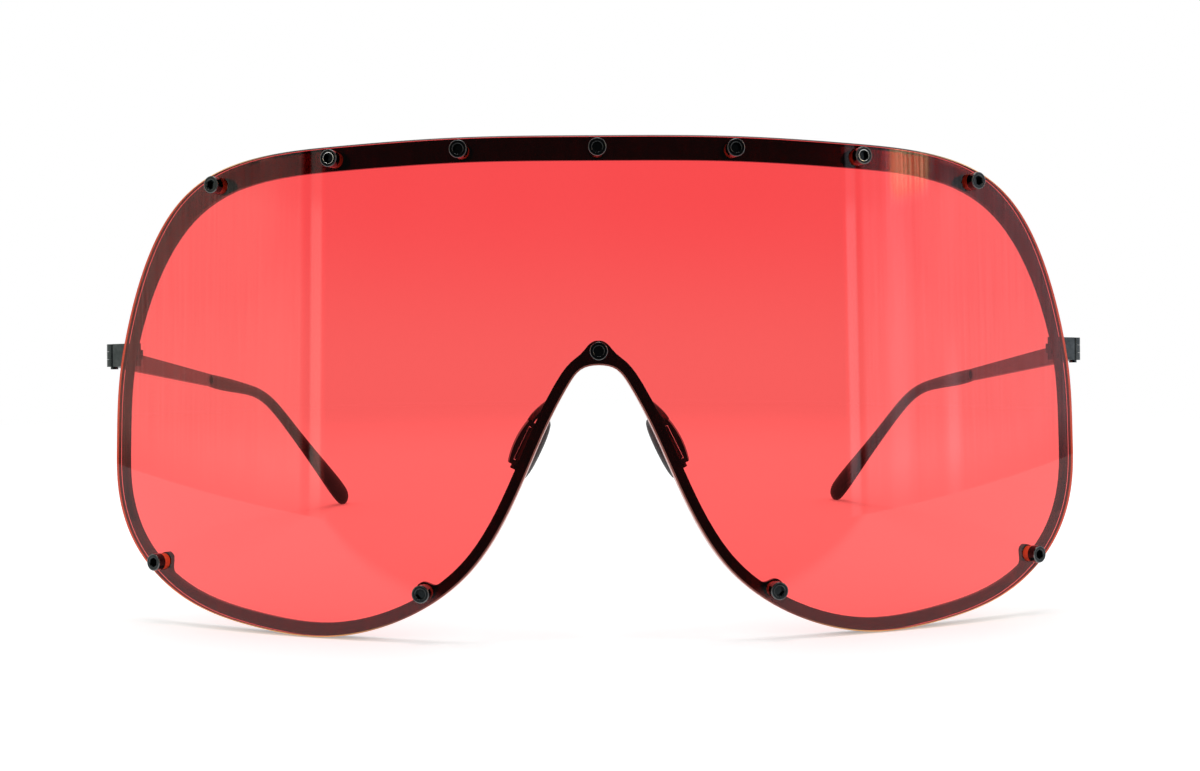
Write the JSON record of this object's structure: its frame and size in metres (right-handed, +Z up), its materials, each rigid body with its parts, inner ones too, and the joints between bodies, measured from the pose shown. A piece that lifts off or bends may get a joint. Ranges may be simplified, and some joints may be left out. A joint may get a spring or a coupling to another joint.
{
  "type": "shield sunglasses",
  "caption": "Shield sunglasses: one curved red lens screwed in front of a thin dark metal rim, with folding temples and rocking silicone nose pads.",
  "frame": {"origin": "on the floor under the middle of the glasses as they stand on the lens's two lobes and the tips", "axes": "+Z up, the lens faces -Y, the temples run back to +Y, +X is the right side seen from the front"},
  "size_m": [0.1564, 0.1443, 0.0729],
  "materials": {
    "red_lens": "clear red, polished",
    "dark_rim": "dark coated sheet steel, fine upright grain",
    "dark_steel": "dark coated steel, satin",
    "black_screws": "black oxide",
    "bush_plastic": "tinted, translucent",
    "tip_plastic": "satin black",
    "pad_rubber": "black silicone",
    "insert_plastic": "black"
  },
  "bodies": {
    "front": {"lens_shield": "red_lens", "front_frame": "dark_rim", "lens_screws": "black_screws", "lens_bushes": "bush_plastic", "end_piece_left": "dark_steel", "hinge_front_left": "dark_steel", "hinge_screw_left": "black_screws", "pad_arm_left": "dark_steel", "pad_bracket_left": "dark_steel", "pad_screw_left": "black_screws", "end_piece_right": "dark_steel", "hinge_front_right": "dark_steel", "hinge_screw_right": "black_screws", "pad_arm_right": "dark_steel", "pad_bracket_right": "dark_steel", "pad_screw_right": "black_screws"},
    "temple_left": {"hinge_rear_left": "dark_steel", "temple_left": "dark_steel", "temple_tip_left": "tip_plastic"},
    "pad_left": {"nose_pad_left": "pad_rubber", "pad_insert_left": "insert_plastic"},
    "temple_right": {"hinge_rear_right": "dark_steel", "temple_right": "dark_steel", "temple_tip_right": "tip_plastic"},
    "pad_right": {"nose_pad_right": "pad_rubber", "pad_insert_right": "insert_plastic"}
  },
  "joints": [
    {"name": "fold_left", "type": "hinge", "parent": "front", "child": "temple_left", "pos_m": [-0.07694, -0.04096, 0.04024], "axis": [0, -0.0738, -0.9973], "range_deg": [0, 90]},
    {"name": "fold_right", "type": "hinge", "parent": "front", "child": "temple_right", "pos_m": [0.07694, -0.04096, 0.04024], "axis": [0, 0.0738, 0.9973], "range_deg": [0, 84]},
    {"name": "pad_rock_left", "type": "hinge", "parent": "front", "child": "pad_left", "pos_m": [-0.01068, -0.06282, 0.02781], "axis": [-0.4384, -0.0663, -0.8963], "range_deg": [-10, 10]},
    {"name": "pad_rock_right", "type": "hinge", "parent": "front", "child": "pad_right", "pos_m": [0.01068, -0.06282, 0.02781], "axis": [0.4384, -0.0663, -0.8963], "range_deg": [-10, 10]}
  ]
}
